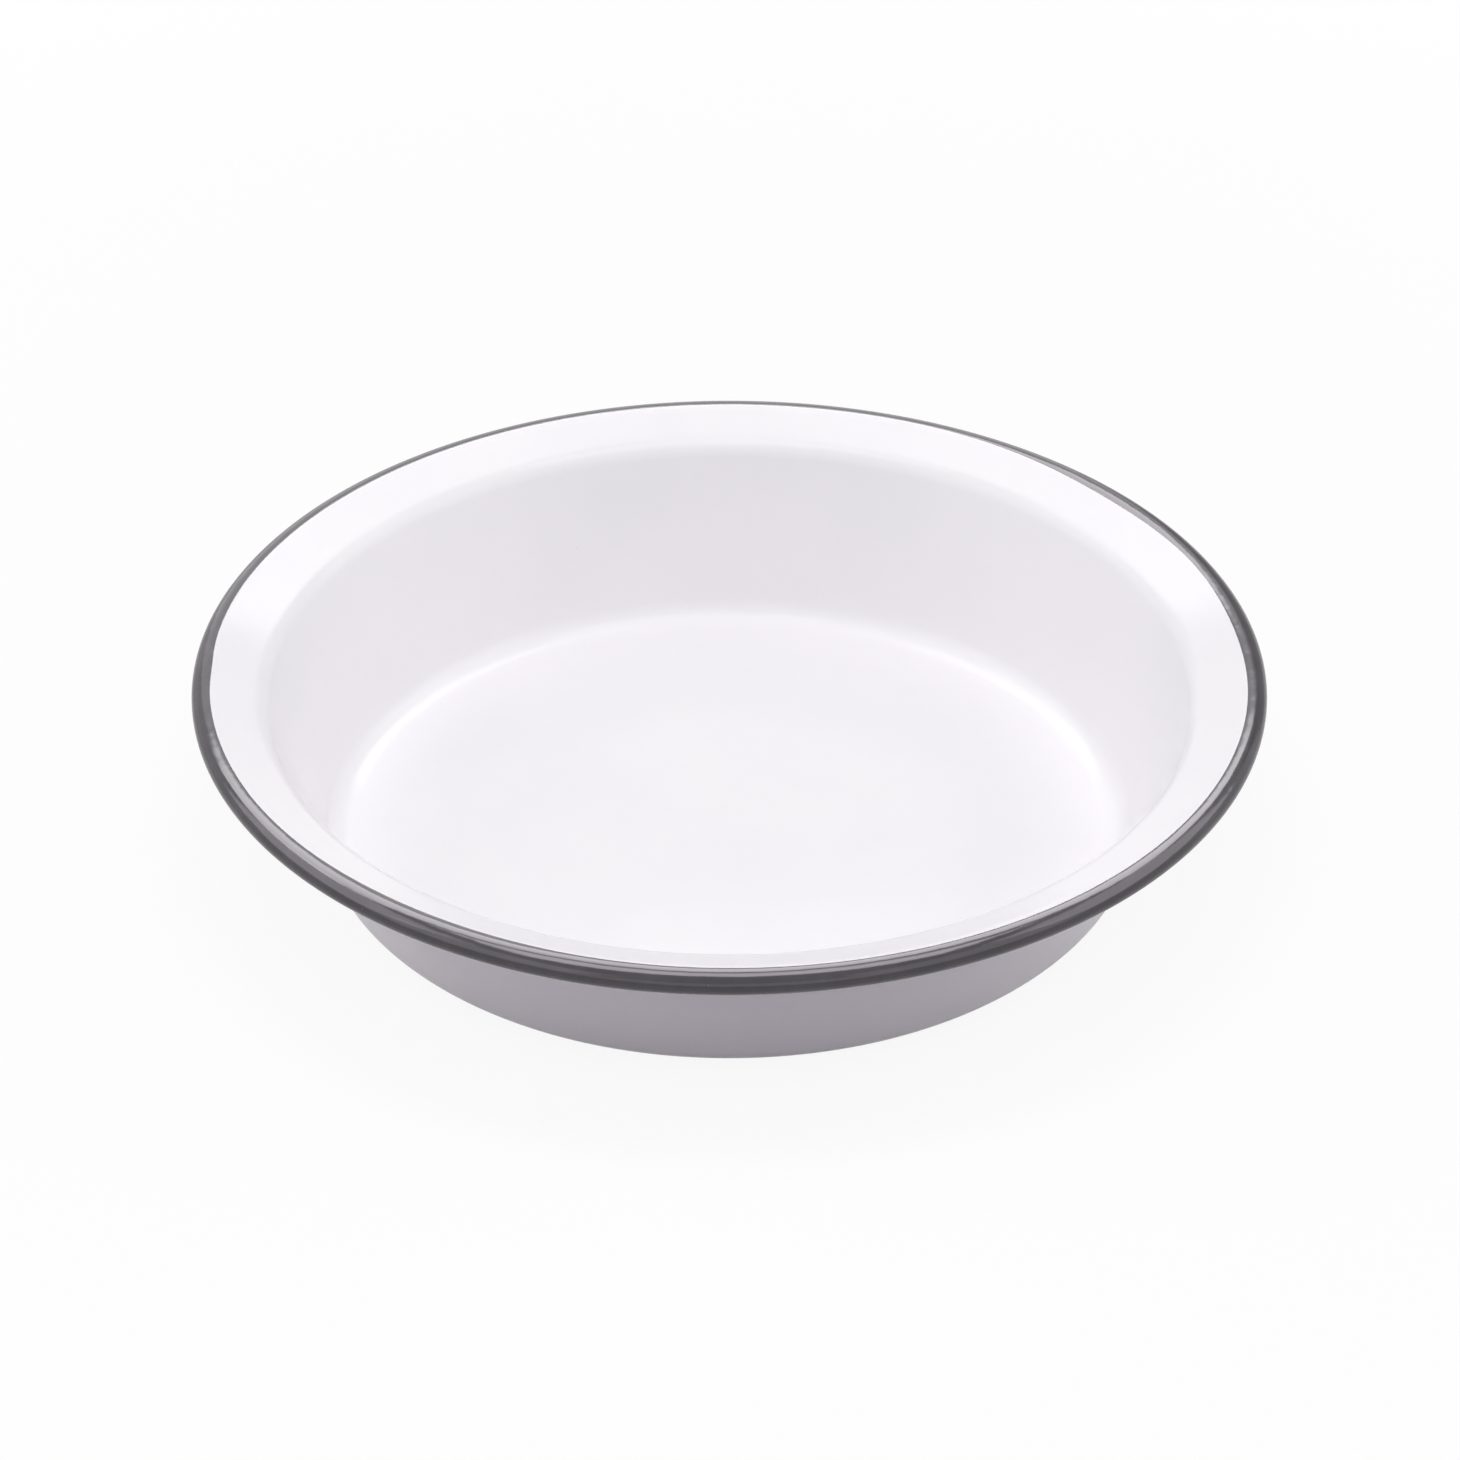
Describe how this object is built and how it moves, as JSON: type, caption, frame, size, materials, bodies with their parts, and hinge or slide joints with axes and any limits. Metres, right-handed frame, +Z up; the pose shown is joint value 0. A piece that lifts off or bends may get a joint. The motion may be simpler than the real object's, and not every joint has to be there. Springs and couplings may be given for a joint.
{
  "type": "pie dish",
  "caption": "Round enamelled steel pie dish with a flat base, a leaning wall, a rising flange and a rolled rim with a dark enamel band.",
  "frame": {"origin": "centre of the flat base, on the surface that the dish stands on", "axes": "+Z up along the dish's axis of symmetry, towards the open mouth; X and Y are any two level directions"},
  "size_m": [0.26, 0.26, 0.048],
  "materials": {
    "sheet_steel": "bare low-carbon sheet steel, as pressed",
    "ground_enamel": "dark vitreous ground coat",
    "white_enamel": "glossy white vitreous enamel",
    "dark_enamel": "glossy dark grey vitreous enamel"
  },
  "bodies": {
    "root": {"steel_pressing": "sheet_steel", "ground_coat_inner": "ground_enamel", "ground_coat_outer": "ground_enamel", "inner_enamel": "white_enamel", "outer_enamel": "white_enamel", "rim_enamel": "dark_enamel"}
  },
  "joints": []
}
